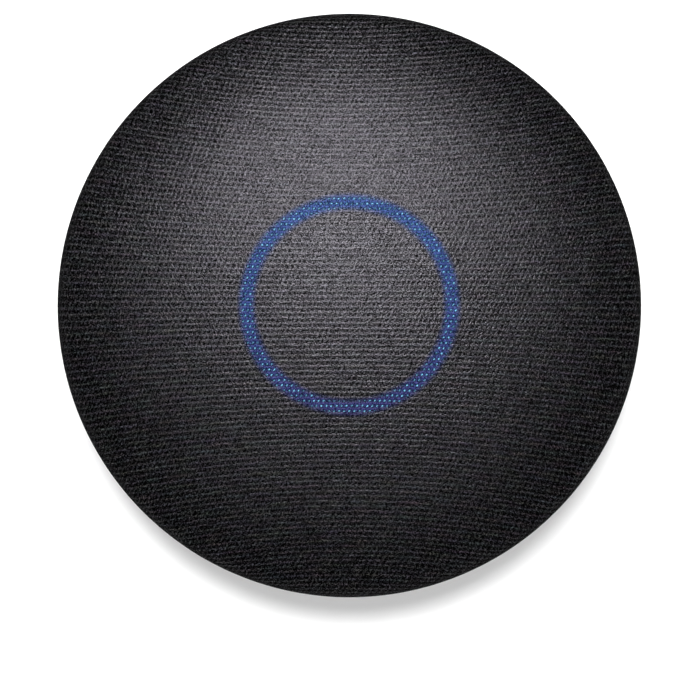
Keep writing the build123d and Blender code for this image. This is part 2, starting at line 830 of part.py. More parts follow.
rim_start = cone_radius - cone_land
with BuildPart() as cone:
    with BuildSketch(Plane.XZ):
        with BuildLine():
            Polyline(
                (neck_radius, cone_bottom),
                (rim_start, driver_top - cone_sheet),
                (cone_radius, driver_top - cone_sheet),
                (cone_radius, driver_top),
                (rim_start - 0.2, driver_top),
                (neck_radius, cone_bottom + 1.6 * cone_sheet),
                close=True,
            )
        make_face()
    revolve(axis=Axis.Z)
pieces["cone"] = cone

# Domed cap, glued to the cone just outside the voice coil
cap_radius = former_outer + dust_cap_overlap
cone_run = (cap_radius - neck_radius) / (rim_start - 0.2 - neck_radius)
cone_top_at_neck = cone_bottom + 1.6 * cone_sheet
cap_z = cone_top_at_neck + cone_run * (driver_top - cone_top_at_neck)
with BuildPart() as dust_cap:
    with BuildSketch(Plane.XZ):
        with BuildLine():
            Polyline(
                (cap_radius, cap_z),
                (0.6 * cap_radius, cap_z + 0.7 * dust_cap_rise),
                (0, cap_z + dust_cap_rise),
                (0, cap_z + dust_cap_rise - dust_cap_sheet),
                (0.6 * cap_radius, cap_z + 0.7 * dust_cap_rise - dust_cap_sheet),
                (cap_radius - dust_cap_sheet, cap_z),
                close=True,
            )
        make_face()
    revolve(axis=Axis.Z)
pieces["dust_cap"] = dust_cap

# Rubber roll between the cone and the basket
roll_top = driver_top + surround_width / 2
roll_shoulder = surround_width / 4
with BuildPart() as surround:
    with BuildSketch(Plane.XZ):
        with BuildLine():
            Polyline(
                (rim_start, driver_top),
                (cone_radius + surround_sheet, driver_top),
                (cone_radius + roll_shoulder + surround_sheet / 2, roll_top - surround_sheet),
                (basket_mouth - roll_shoulder - surround_sheet / 2, roll_top - surround_sheet),
                (basket_mouth - surround_sheet, driver_top),
                (driver_flange_radius - 1, driver_top),
                (driver_flange_radius - 1, driver_top + surround_sheet),
                (basket_mouth, driver_top + surround_sheet),
                (basket_mouth - roll_shoulder, roll_top),
                (cone_radius + roll_shoulder, roll_top),
                (cone_radius, driver_top + surround_sheet),
                (rim_start, driver_top + surround_sheet),
                close=True,
            )
        make_face()
    revolve(axis=Axis.Z)
pieces["surround"] = surround

# Corrugated disc that centres the voice coil
wave_start = neck_radius + 1
wave_length = (shelf_inner - wave_start) / spider_waves


def spider_line(rise):
    """Points along the spider's folds, from the coil to the shelf, raised by rise."""
    folds = [
        (wave_start + wave_length * fold / 2, shelf_z + rise + spider_wave * (fold % 2))
        for fold in range(2 * spider_waves + 1)
    ]
    return [(neck_radius, shelf_z + rise), *folds, (shelf_outer - 0.2, shelf_z + rise)]


with BuildPart() as spider:
    with BuildSketch(Plane.XZ):
        with BuildLine():
            Polyline(*spider_line(0), *reversed(spider_line(spider_sheet)), close=True)
        make_face()
    revolve(axis=Axis.Z)
pieces["spider"] = spider

# ---------------------------------------------------------------- leads and ribbon
strip_drop = 2.0
strip_thickness = 1.2
strip_height = 3.0
header_length = 4.0
header_height = 4.0
lead_z = shelf_z - driver_sheet - strip_drop
strip_outer = shelf_inner + driver_sheet + glue + strip_thickness
with BuildPart() as terminal_strip:
    with BuildSketch(Plane.XZ.offset(strip_outer)):
        with Locations((0, lead_z)):
            Rectangle(3 * lead_spacing, strip_height)
    extrude(amount=-strip_thickness)
pieces["terminal_strip"] = terminal_strip

with BuildPart() as speaker_header:
    add(on_board(-90, header_length, 2.6 * lead_spacing, header_height))
pieces["speaker_header"] = speaker_header

with BuildPart() as speaker_leads:
    for side in (-1, 1):
        with BuildLine(Plane.YZ.offset(side * lead_spacing / 2)) as lead_path:
            FilletPolyline(
                (-board_middle, board_top + header_height),
                (-board_middle, lead_z),
                (-strip_outer, lead_z),
                radius=lead_bend,
            )
        with BuildSketch(Plane(origin=lead_path.line @ 0, z_dir=lead_path.line % 0)):
            Circle(lead_radius)
        sweep(path=lead_path.line)
pieces["speaker_leads"] = speaker_leads

ribbon_top = ring_board_bottom - ribbon_socket_height / 2
ribbon_start = mic_radius + ribbon_end_gap
ribbon_socket_width = ribbon_width + 2 * ribbon_socket_margin
with BuildPart() as ribbon_sockets:
    with BuildSketch(Plane.XY.offset(board_top)):
        with Locations((-ribbon_radius, 0)):
            Rectangle(lower_socket_depth, ribbon_socket_width)
    extrude(amount=ribbon_socket_height)
    with BuildSketch(Plane.XY.offset(ring_board_bottom)):
        with Locations((-ribbon_start, 0)):
            Rectangle(
                upper_socket_depth, ribbon_socket_width, align=(Align.MIN, Align.CENTER)
            )
    extrude(amount=-ribbon_socket_height)
pieces["ribbon_sockets"] = ribbon_sockets

with BuildPart() as ribbon_cable:
    with BuildSketch(Plane.XZ.offset(-ribbon_width / 2)):
        with BuildLine() as ribbon_line:
            FilletPolyline(
                (-ribbon_radius, board_top + ribbon_socket_height),
                (-ribbon_radius, ribbon_top),
                (-ribbon_start, ribbon_top),
                radius=ribbon_bend,
            )
            offset(ribbon_line.line, amount=ribbon_thickness, side=Side.RIGHT)
        make_face()
    extrude(amount=ribbon_width)
pieces["ribbon_cable"] = ribbon_cable

# ---------------------------------------------------------------- power socket
with BuildPart() as socket_shell_part:
    with BuildSketch(Plane.XZ.offset(-(panel_y - slot_gap))):
        with Locations((socket_x, socket_z)):
            SlotOverall(socket_width, socket_height)
    extrude(amount=socket_length)
    with BuildSketch(Plane.XZ.offset(-(panel_y - slot_gap))):
        with Locations((socket_x, socket_z)):
            SlotOverall(socket_width - 2 * socket_shell, socket_height - 2 * socket_shell)
    extrude(amount=socket_length - socket_shell, mode=Mode.SUBTRACT)
pieces["socket_shell"] = socket_shell_part

tongue_thickness = 0.7
with BuildPart() as socket_tongue:
    with BuildSketch(Plane.XZ.offset(-(panel_y - slot_gap - socket_length + socket_shell))):
        with Locations((socket_x, socket_z)):
            SlotOverall(
                socket_width - 2 * socket_shell - glue, socket_height - 2 * socket_shell - glue
            )
    extrude(amount=-1.2)
    with BuildSketch(Plane.XZ.offset(-(panel_y - slot_gap - socket_length + socket_shell))):
        with Locations((socket_x, socket_z)):
            Rectangle(0.78 * socket_width, tongue_thickness)
    extrude(amount=-0.88 * socket_length)
pieces["socket_tongue"] = socket_tongue

# ---------------------------------------------------------------- mute switch
knob_root_y = panel_inner_y - slot_gap
switch_front_y = knob_root_y - 0.6
stem_height = knob_height / 2
with BuildPart() as switch_body:
    with BuildSketch(Plane.XY.offset(board_top)):
        with Locations((switch_x + switch_travel / 2, switch_front_y)):
            Rectangle(
                switch_body_length, switch_body_depth, align=(Align.CENTER, Align.MAX)
            )
    extrude(amount=switch_body_height)
    with BuildSketch(Plane.XZ.offset(-switch_front_y)):
        with Locations((switch_x + switch_travel / 2, knob_z)):
            Rectangle(stem_length + switch_travel + 2 * slot_gap, stem_height + 2 * slot_gap)
    extrude(amount=switch_body_depth / 2, mode=Mode.SUBTRACT)
pieces["switch_body"] = switch_body

# Ribbed cap outside the panel, with a stem that reaches into the switch
with BuildPart() as mute_knob:
    with BuildSketch(Plane.XZ.offset(-knob_root_y)):
        with Locations((switch_x, knob_z)):
            Rectangle(knob_length, knob_height)
    extrude(amount=-(panel_y + knob_proud - knob_root_y))
    with BuildSketch(Plane.XZ.offset(-knob_root_y)):
        with Locations((switch_x, knob_z)):
            Rectangle(stem_length, stem_height)
    extrude(amount=knob_root_y - switch_front_y + switch_body_depth / 2 - slot_gap)
    with BuildSketch(Plane.XZ.offset(-(panel_y + knob_proud))):
        with Locations((switch_x, knob_z)):
            with GridLocations(1.0, 0, 4, 1):
                Rectangle(0.4, knob_height)
    extrude(amount=0.4, mode=Mode.SUBTRACT)
pieces["mute_knob"] = mute_knob

# ---------------------------------------------------------------- reset button
switch_bottom = board_bottom - reset_switch_height
nub_radius = 1.0
nub_proud = reset_travel + slot_gap
with BuildPart() as reset_switch:
    with BuildSketch(Plane.XY.offset(switch_bottom)):
        with Locations((0, reset_y)):
            Rectangle(reset_switch_side, reset_switch_side)
    extrude(amount=reset_switch_height)
    with BuildSketch(Plane.XY.offset(switch_bottom)):
        with Locations((0, reset_y)):
            Circle(nub_radius + slot_gap)
    extrude(amount=reset_switch_height - 1, mode=Mode.SUBTRACT)
pieces["reset_switch"] = reset_switch

with BuildPart() as reset_nub:
    with BuildSketch(Plane.XY.offset(switch_bottom - nub_proud)):
        with Locations((0, reset_y)):
            Circle(nub_radius)
    extrude(amount=nub_proud + reset_switch_height - 1 - reset_travel - slot_gap)
pieces["reset_nub"] = reset_nub

with BuildPart() as reset_button:
    with BuildSketch(Plane.XY.offset(base_bottom + reset_recess)):
        with Locations((0, reset_y)):
            Circle(reset_radius)
    extrude(amount=switch_bottom - nub_proud - base_bottom - reset_recess)
    with BuildSketch(Plane.XY.offset(floor_top)):
        with Locations((0, reset_y)):
            Circle(reset_radius + reset_flange)
    extrude(amount=0.8)
pieces["reset_button"] = reset_button

os.makedirs("parts", exist_ok=True)
for name, piece in pieces.items():
    piece.part.label = name
    export_step(piece.part, f"parts/{name}.step")
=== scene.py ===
import json
import math

import bmesh
import bpy
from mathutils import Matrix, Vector


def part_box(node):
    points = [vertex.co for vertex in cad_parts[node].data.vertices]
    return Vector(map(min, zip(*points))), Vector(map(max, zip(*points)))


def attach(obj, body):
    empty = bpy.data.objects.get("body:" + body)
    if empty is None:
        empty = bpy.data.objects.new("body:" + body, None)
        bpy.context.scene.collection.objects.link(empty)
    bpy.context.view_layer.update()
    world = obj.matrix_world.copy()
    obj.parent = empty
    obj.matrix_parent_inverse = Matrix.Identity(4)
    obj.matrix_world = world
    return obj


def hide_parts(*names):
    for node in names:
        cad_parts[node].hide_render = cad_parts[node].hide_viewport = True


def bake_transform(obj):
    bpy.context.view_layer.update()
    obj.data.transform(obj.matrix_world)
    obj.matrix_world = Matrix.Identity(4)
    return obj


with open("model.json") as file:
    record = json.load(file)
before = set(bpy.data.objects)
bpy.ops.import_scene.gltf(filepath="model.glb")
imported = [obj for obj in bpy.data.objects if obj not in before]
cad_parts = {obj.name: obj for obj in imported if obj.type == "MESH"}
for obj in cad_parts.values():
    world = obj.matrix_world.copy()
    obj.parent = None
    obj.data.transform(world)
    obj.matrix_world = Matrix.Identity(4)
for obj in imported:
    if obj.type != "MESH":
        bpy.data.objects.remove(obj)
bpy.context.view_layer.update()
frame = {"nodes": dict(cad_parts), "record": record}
nodes = frame["nodes"]

MM = 0.001

# Sizes of the cover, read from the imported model: rim's radius, top, underside of the hem
cover_low, cover_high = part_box("fabric_cover")
COVER_RADIUS = (cover_high.x - cover_low.x) / 2
COVER_TOP = cover_high.z
COVER_BOTTOM = cover_low.z

# The cover's own proportions
RIM_ROUND = 5.0 * MM
CLOTH_THICK = 0.8 * MM
HEM_WIDTH = 3.5 * MM

# Steps of the cover's mesh: round it, from the middle of the dome to the rim, and round the rim
COVER_SEGMENTS = 256
DOME_STEPS = 44
RIM_STEPS = 18

# Where the cover's outside and inside lie in the bake's square: middle, share of the full size
BAKE_HALF = 0.49
OUTSIDE_PLACE = (0.5, 1.0)
INSIDE_PLACE = (0.07, 0.13)

# The weave: threads over the cover's radius. Stretched over the dome, a count falls by its ASIDE
# with the square of the distance along its threads, and grows by its OUT across them
ROWS, ROWS_ASIDE, ROWS_OUT = 55.7, 0.196, 0.033
COLUMNS, COLUMNS_ASIDE, COLUMNS_OUT = 59.9, 0.17, 0.026

# Sizes in the weave's pattern, in cells one column wide and one row high
WANDER_ACROSS, WANDER_UP = 0.4, 0.25
HALF_DROP = 0.5
PIT_LEAN, PIT_HALF_WIDTH, PIT_HALF_HEIGHT = 0.45, 0.31, 0.33

# Where smooth steps start and end: round a pit and the dot of light in it, in shares of its half
# size squared, and beside a thread and its knots, in cells
PIT_EDGE, DOT_EDGE = (0.15, 1.4), (0.05, 0.55)
THREAD_EDGE, KNOT_EDGE = (0.24, 0.46), (0.2, 0.45)

# Noise in the weave: how much finer it is than a cell, across and up, and the height at which
# its space is cut, which keeps the noises apart
WANDER_NOISES = (0.35, 0.35, 0.0), (0.35, 0.35, 7.0)
FIBRE_NOISE = (3.4, 3.6, 0.0)
STREAK_NOISE = (0.12, 1.0, 3.0)
TINT_NOISE = (0.25, 1.0, 9.0)
GLINTS_ACROSS, GLINTS_UP, GLINT_LAYER = 5.1, 5.3, 5.0

# The cloth's brightness, from 0 deep in a pit to about 1 on a lit fibre: what lifts it, what
# varies it, and what shades it
CLOTH_LEVEL, THREAD_LIFT, KNOT_LIFT, DARKEST = 0.455, 0.05, 0.14, 0.03
CELL_SPREAD, FIBRE_SPREAD, STREAK_SPREAD, GLINT_SPREAD = 0.15, 2.3, 0.15, 0.5
PIT_SHADE, GAP_SHADE = 0.5, 0.12
PIT_SINK, THREAD_RISE = 0.42, 0.12
BUMP_STRENGTH, BUMP_DEPTH = 0.6, 0.12 * MM
CLOTH_COLOUR, COLOUR_GAIN = (0.0175, 0.0172, 0.0190), 4.0
CLOTH_SHEEN, GLOSS_GAIN = (0.935, 0.895, 1.0), 1.28
TINT_SHARE = 0.5
CRISP_GAIN = 1.8

# Parts of the cover: where they start and end, and how much darker and duller the cloth is there.
# Over the outer dome, the rolled rim and the two sides it is painted shade. This is fitted to how
# the light falls off in the photograph, which the lights alone don't give
ROLLED_EDGE = (COVER_RADIUS - 3.2 * MM, COVER_RADIUS - 0.2 * MM)
OUTER_EDGE = (COVER_RADIUS * 0.6, COVER_RADIUS)
ASIDE_EDGE = (COVER_RADIUS * 0.25, COVER_RADIUS * 0.7)
RING_DARKER, OUTER_PAINTED_SHADE, ROLLED_PAINTED_SHADE = 0.6, 0.45, 0.75
RING_DULLER, ROLLED_PAINTED_GLOSS_SHADE, OUTER_PAINTED_GLOSS_SHADE, ASIDE_PAINTED_GLOSS_SHADE = 0.8, 0.8, 0.6, 0.12
CLOTH_ROUGH, ROLLED_ROUGHER = 0.38, 0.35

# The ring of light under the cloth, and how far it blurs outside and inside its edges: all of it,
# and the dots in its core
RING_LOW, RING_HIGH = 25.8 * MM, 29.5 * MM
GLOW_BLUR, CORE_BLUR = (1.2 * MM, 1.2 * MM), (0.1 * MM, 0.5 * MM)
# The ring's colour at its bottom and at its top; the top's is brighter and bluer as painted
# highlight
GLOW_BELOW, GLOW_AND_HIGHLIGHT_ABOVE = (0.030, 0.026, 0.130), (0.026, 0.066, 0.270)
GLOW_IN_GAPS, DOT_GLOW = (0.75, 1.15, 1.0), (0.31, 0.85, 1.25)
DOT_LEAST, DOT_SPREAD = 0.7, 0.5
GLOW_LEAST, GLOW_GAIN = 0.1, 1.75

# The rubber roll and the corrugated disc that hold the loudspeaker's cone: radius and height (mm)
# of the points along their undersides and their tops, from the cone out to the basket
ROLL_UNDER = (16.4, 31.7), (17.9, 31.7), (18.65, 33.2), (20.15, 33.2), (20.9, 31.7), (25.0, 31.7)
ROLL_OVER = (16.4, 32.2), (17.4, 32.2), (18.4, 33.7), (20.4, 33.7), (21.4, 32.2), (25.0, 32.2)
DISC_UNDER = ((9.85, 23.8), (10.85, 23.8), (12.0875, 24.5), (13.325, 23.8), (14.5625, 24.5),
              (15.8, 23.8), (18.2, 23.8))
DISC_SHEET = 0.4
DISC_OVER = tuple((radius, height + DISC_SHEET) for radius, height in DISC_UNDER)
SECTORS = 24
SECTOR_STEPS = 6

# The grain of moulded and metal finishes: fine and broad patches, and how far roughness varies
BROAD_PATCH = 14 * MM
FINE_SHARE, BROAD_SHARE = 0.6, 0.4
ROUGH_SPREAD = 0.08
GRAIN_BUMP = 0.5

# Stage
FLOOR_HALF = 30.0
FLOOR_SHADE, FLOOR_SPREAD, FLOOR_PATCHES = 0.90, 0.02, 3.0
WORLD_STRENGTH = 0.07

# The camera, and where the photograph shows the cover, in its pixels
PHOTO_SIDE = 700
PHOTO_RADIUS = 291.8
PHOTO_MIDDLE = (349.35, 305.52)
CAMERA_DISTANCE = 1.0
SENSOR_WIDTH = 36.0


# ---------------------------------------------------------------------------------------------
# Node trees
# ---------------------------------------------------------------------------------------------

class Wire:
    """One output socket of a node tree, with arithmetic that adds Math nodes."""

    def __init__(self, tree, socket):
        self.tree, self.socket = tree, socket

    def __add__(self, other):
        return self.tree.math("ADD", self, other)

    def __sub__(self, other):
        return self.tree.math("SUBTRACT", self, other)

    def __rsub__(self, other):
        return self.tree.math("SUBTRACT", other, self)

    def __mul__(self, other):
        return self.tree.math("MULTIPLY", self, other)

    def __truediv__(self, other):
        return self.tree.math("DIVIDE", self, other)

    __radd__, __rmul__ = __add__, __mul__


class Tree:
    """A material with one Principled shader, and short calls for the nodes that feed it."""

    def __init__(self, name, **constants):
        self.material = bpy.data.materials.new(name)
        self.material.use_nodes = True
        self.nodes, self.links = self.material.node_tree.nodes, self.material.node_tree.links
        self.shader = self.nodes["Principled BSDF"]
        coordinates = self.nodes.new("ShaderNodeTexCoord")
        self.position = Wire(self, coordinates.outputs["Object"])
        for name, value in constants.items():
            self.set(name, value)

    def put(self, socket, value):
        """Gives a socket a wire or a constant. A colour's three numbers get the fourth."""
        if isinstance(value, Wire):
            self.links.new(value.socket, socket)
        elif socket.type == "RGBA":
            socket.default_value = (*value, 1)
        else:
            socket.default_value = value

    def set(self, name, value):
        """Gives the shader's socket a wire or a constant."""
        self.put(self.shader.inputs[name.replace("_", " ")], value)

    def math(self, operation, *values, clamp=False):
        node = self.nodes.new("ShaderNodeMath")
        node.operation, node.use_clamp = operation, clamp
        for socket, value in zip(node.inputs, values):
            self.put(socket, value)
        return Wire(self, node.outputs[0])

    def attribute(self, name):
        node = self.nodes.new("ShaderNodeAttribute")
        node.attribute_name = name
        return Wire(self, node.outputs["Vector"])

    def split(self, vector):
        node = self.nodes.new("ShaderNodeSeparateXYZ")
        self.put(node.inputs[0], vector)
        return [Wire(self, output) for output in node.outputs]

    def join(self, x, y, z):
        node = self.nodes.new("ShaderNodeCombineXYZ")
        for socket, value in zip(node.inputs, (x, y, z)):
            self.put(socket, value)
        return Wire(self, node.outputs[0])

    def grey(self, value):
        return self.join(value, value, value)

    def step(self, value, low, high):
        """A smooth step from 0 at low to 1 at high."""
        node = self.nodes.new("ShaderNodeMapRange")
        node.interpolation_type = "SMOOTHSTEP"
        for name, given in (("Value", value), ("From Min", low), ("From Max", high)):
            self.put(node.inputs[name], given)
        return Wire(self, node.outputs[0])

    def noise(self, vector, scale=1.0, detail=2.0, roughness=0.5, output="Fac"):
        node = self.nodes.new("ShaderNodeTexNoise")
        for name, given in (("Vector", vector), ("Scale", scale), ("Detail", detail),
                            ("Roughness", roughness)):
            self.put(node.inputs[name], given)
        return Wire(self, node.outputs[output])

    def white(self, vector):
        """A random number that is the same all over each whole-numbered cell."""
        node = self.nodes.new("ShaderNodeTexWhiteNoise")
        node.noise_dimensions = "3D"
        self.put(node.inputs["Vector"], vector)
        return Wire(self, node.outputs["Value"])

    def mix(self, share, a, b, blend="MIX"):
        node = self.nodes.new("ShaderNodeMix")
        node.data_type, node.blend_type = "RGBA", blend
        for socket, value in zip([s for s in node.inputs if s.enabled], (share, a, b)):
            self.put(socket, value)
        return Wire(self, next(s for s in node.outputs if s.enabled))

    def times(self, a, b):
        """The product of two colours."""
        return self.mix(1.0, a, b, "MULTIPLY")

    def bump(self, height, strength, distance):
        node = self.nodes.new("ShaderNodeBump")
        for name, given in (("Strength", strength), ("Distance", distance), ("Height", height)):
            self.put(node.inputs[name], given)
        return Wire(self, node.outputs[0])


def dimmed(where, share):
    """A factor that is 1, and less by share where the wire is 1."""
    return 1.0 - where * share


def ring_band(t, radius, outside, inside):
    """1 in the ring of light, with soft edges that reach this far outside it and inside it."""
    return (t.step(radius, RING_LOW - outside, RING_LOW + inside)
            * (1.0 - t.step(radius, RING_HIGH - inside, RING_HIGH + outside)))


def cloth_material():
    """Coarse black cloth: half-drop rows of slanted pits, twisted threads, and a glowing ring."""
    t = Tree("cover_cloth_material", Metallic=0.0, Specular_Tint=CLOTH_SHEEN,
             Emission_Strength=1.0)
    x, y, _ = t.split(t.position)
    u, v, _ = t.split(t.attribute("weave"))

    def in_weave(across, up, layer):
        """A place among the threads, in a space that is finer or coarser than the weave."""
        return t.join(u * across, v * up, layer)

    # The threads wander a little
    wander_across, wander_up = [t.noise(in_weave(*place)) for place in WANDER_NOISES]
    u = u + (wander_across - 0.5) * WANDER_ACROSS
    v = v + (wander_up - 0.5) * WANDER_UP

    # The cell that a point is in, and its place there from -0.5 to 0.5. Every other row is shifted
    row = t.math("ROUND", v)
    up = v - row
    shifted = u + row * HALF_DROP
    column = t.math("ROUND", shifted)
    chance = t.white(t.join(column, row, 0.0))

    # The slanted pit in the middle of the cell
    slant = (shifted - column) - up * PIT_LEAN
    pit_across, pit_up = slant / PIT_HALF_WIDTH, up / PIT_HALF_HEIGHT
    off_pit = pit_across * pit_across + pit_up * pit_up
    pit = 1.0 - t.step(off_pit, *PIT_EDGE)
    # The thread that runs along the row's edge, and its knots
    thread = t.step(t.math("ABSOLUTE", up), *THREAD_EDGE)
    knot = thread * t.step(t.math("ABSOLUTE", slant), *KNOT_EDGE)

    # Brightness: fine fibres, streaks along the threads, and specks that catch the light
    fibre = t.noise(in_weave(*FIBRE_NOISE), detail=1.0, roughness=0.6)
    streak = t.noise(in_weave(*STREAK_NOISE))
    level = CLOTH_LEVEL + thread * THREAD_LIFT + knot * KNOT_LIFT + (chance - 0.5) * CELL_SPREAD
    level = level + (fibre - 0.5) * FIBRE_SPREAD + (streak - 0.5) * STREAK_SPREAD
    level = level * dimmed(pit, PIT_SHADE) * dimmed(1.0 - thread, GAP_SHADE)
    height = level - pit * PIT_SINK + thread * THREAD_RISE
    glint = t.white(t.join(t.math("FLOOR", u * GLINTS_ACROSS), t.math("FLOOR", v * GLINTS_UP),
                           GLINT_LAYER))
    level = t.math("MAXIMUM", level + (glint - 0.5) * GLINT_SPREAD, DARKEST)

    # Parts of the cover: the ring, the rolled rim, the outer part of the dome, its two sides.
    # The rolled rim, the outer dome and the sides carry painted shade
    radius = t.math("SQRT", x * x + y * y)
    ring = ring_band(t, radius, *GLOW_BLUR)
    rolled = t.step(radius, *ROLLED_EDGE)
    outer = t.step(radius, *OUTER_EDGE)
    aside = t.step(t.math("ABSOLUTE", x), *ASIDE_EDGE)
    # Towards the rim fibres and pits stand out more from each other. On the whole this also
    # darkens
    # the rim: painted shade
    crisp = 1.0 + outer * (level * CRISP_GAIN - 1.0)

    tint = t.noise(in_weave(*TINT_NOISE), output="Color")
    base = t.times(CLOTH_COLOUR, t.mix(TINT_SHARE, (0.5, 0.5, 0.5), tint))
    # The cloth's colour, with painted shade on the outer dome and the rolled rim, and darker over
    # the ring
    lift = (level * level * dimmed(ring, RING_DARKER) * dimmed(outer, OUTER_PAINTED_SHADE)
            * dimmed(rolled, ROLLED_PAINTED_SHADE) * crisp * COLOUR_GAIN)
    t.set("Base_Color", t.times(base, t.grey(lift)))
    t.set("Roughness", CLOTH_ROUGH + rolled * ROLLED_ROUGHER)
    # The gloss varies with the weave. The export drops it, and has the usual 0.5 all over instead
    # The gloss is painted lower on the outer dome, the rolled rim and the two sides: painted shade
    gloss = (dimmed(ring, RING_DULLER) * dimmed(rolled, ROLLED_PAINTED_GLOSS_SHADE)
             * dimmed(outer, OUTER_PAINTED_GLOSS_SHADE) * dimmed(aside, ASIDE_PAINTED_GLOSS_SHADE) * crisp)
    t.set("Specular_IOR_Level", t.math("MULTIPLY", level * GLOSS_GAIN, gloss, clamp=True))
    t.set("Normal", t.bump(height, BUMP_STRENGTH, BUMP_DEPTH))

    # Light through the cloth: violet in the threads, blue beside the pits, and pale dots where a
    # pit lets it straight through. The upper part of the ring is brighter and bluer: painted
    # highlight
    dot = (1.0 - t.step(off_pit, *DOT_EDGE)) * (DOT_LEAST + chance * DOT_SPREAD)
    core = ring_band(t, radius, *CORE_BLUR)
    highlight_upward = t.math("ADD", y / (2 * RING_HIGH), 0.5, clamp=True)
    glow = t.mix(highlight_upward, GLOW_BELOW, GLOW_AND_HIGHLIGHT_ABOVE)
    glow = t.mix(thread, t.times(glow, GLOW_IN_GAPS), glow)
    lit = t.mix(t.math("MINIMUM", dot * core, 1.0), glow, DOT_GLOW)
    t.set("Emission_Color", t.times(lit, t.grey(ring * (GLOW_LEAST + level * GLOW_GAIN))))
    return t.material


def moulded(name, colour, rough, grain=0.35, depth=0.03, spread=0.12, metallic=0.0,
            stretch=(1, 1, 1), **constants):
    """A finish with a fine grain (mm): colour, roughness and height vary with it."""
    t = Tree(name, Metallic=metallic, **constants)
    grain, depth = grain * MM, depth * MM
    stretched = [along * (times / grain) for along, times in zip(t.split(t.position), stretch)]
    fine = t.noise(t.join(*stretched), detail=3.0, roughness=0.6)
    broad = t.noise(t.position, 1 / BROAD_PATCH)
    shade = (1.0 - spread) + (fine * FINE_SHARE + broad * BROAD_SHARE) * (2 * spread)
    t.set("Base_Color", t.times(colour, t.grey(shade)))
    t.set("Roughness", t.math("ADD", rough - ROUGH_SPREAD, (fine + broad) * ROUGH_SPREAD,
                              clamp=True))
    t.set("Normal", t.bump(fine, GRAIN_BUMP, depth))
    return t.material


# What moulded() is given for each material slot of the record: colour, roughness, grain (mm),
# the grain's depth (mm), spread of its shade, metallic, stretch of the grain
FINISHES = {
    "black_plastic": ((0.022, 0.022, 0.024), 0.5),
    "base_plastic": ((0.012, 0.012, 0.013), 0.55, 0.3, 0.05),
    "foot_rubber": ((0.030, 0.030, 0.032), 0.8, 0.5, 0.05),
    "knob_plastic": ((0.05, 0.05, 0.054), 0.45, 0.2, 0.01),
    "button_plastic": ((0.04, 0.04, 0.043), 0.5, 0.2, 0.01),
    "light_diffuser": ((0.75, 0.82, 0.9), 0.35, 0.8, 0.01, 0.04),
    "white_plastic": ((0.78, 0.78, 0.76), 0.5, 0.5, 0.01, 0.05),
    "led_package": ((0.85, 0.82, 0.62), 0.35, 0.6, 0.005, 0.06),
    "circuit_board": ((0.012, 0.085, 0.045), 0.4, 1.2, 0.01, 0.25),
    "screw_steel": ((0.52, 0.52, 0.53), 0.35, 0.15, 0.004, 0.08, 1.0),
    "metal_can": ((0.62, 0.62, 0.60), 0.3, 0.4, 0.004, 0.06, 1.0, (1, 0.1, 1)),
    "seal_rubber": ((0.025, 0.025, 0.027), 0.75, 0.4),
    "foam_seal": ((0.06, 0.06, 0.065), 0.9, 0.5, 0.12, 0.3),
    "chip_black": ((0.018, 0.018, 0.019), 0.6, 0.1, 0.01, 0.1),
    "thermal_pad": ((0.35, 0.40, 0.46), 0.8, 0.5, 0.02, 0.1),
    "heat_sink": ((0.42, 0.42, 0.43), 0.4, 0.3, 0.005, 0.08, 1.0, (0.1, 1, 1)),
    "capacitor_can": ((0.55, 0.55, 0.57), 0.3, 0.3, 0.004, 0.06, 1.0),
    "aerial_brass": ((0.72, 0.53, 0.25), 0.35, 0.3, 0.004, 0.08, 1.0),
    "driver_frame": ((0.05, 0.05, 0.052), 0.5, 0.5, 0.02, 0.15, 0.4),
    "motor_steel": ((0.46, 0.46, 0.45), 0.38, 0.3, 0.006, 0.1, 1.0),
    "magnet": ((0.055, 0.055, 0.058), 0.6, 0.6, 0.03, 0.2),
    "coil_wire": ((0.60, 0.26, 0.10), 0.35, 0.16, 0.03, 0.15, 1.0, (0.02, 0.02, 1)),
    "cone": ((0.035, 0.034, 0.033), 0.8, 0.7, 0.05, 0.3),
    "spider_cloth": ((0.50, 0.36, 0.14), 0.85, 0.35, 0.06, 0.25),
    "terminal_strip": ((0.45, 0.33, 0.16), 0.6, 0.6, 0.01, 0.12),
    "lead_jacket": ((0.30, 0.03, 0.025), 0.45, 0.5, 0.01, 0.08),
    "ribbon": ((0.72, 0.72, 0.70), 0.5, 0.5, 0.02, 0.1, 0.0, (1, 0.05, 0.05)),
    "socket_steel": ((0.55, 0.55, 0.56), 0.32, 0.15, 0.004, 0.08, 1.0),
}
FINISH_CONSTANTS = {
    "base_plastic": {"Specular_IOR_Level": 0.3},
    "light_diffuser": {"Emission_Color": (0.08, 0.35, 0.9), "Emission_Strength": 0.6},
}


def dress_cad_nodes():
    """Every CAD node gets the finish of its slot in the record, but for the cover's cloth."""
    made = {}
    for part in frame["record"]["subparts"]:
        slot, mesh = part["material_slot"], nodes[part["node"]].data
        if slot in FINISHES:
            if slot not in made:
                made[slot] = moulded(slot + "_finish", *FINISHES[slot],
                                     **FINISH_CONSTANTS.get(slot, {}))
            mesh.materials.clear()
            mesh.materials.append(made[slot])


def add_object(name, data):
    """A new object in the scene, for a mesh, a light or a camera."""
    made = bpy.data.objects.new(name, data)
    bpy.context.scene.collection.objects.link(made)
    return made


# ---------------------------------------------------------------------------------------------
# The cloth cover
# ---------------------------------------------------------------------------------------------

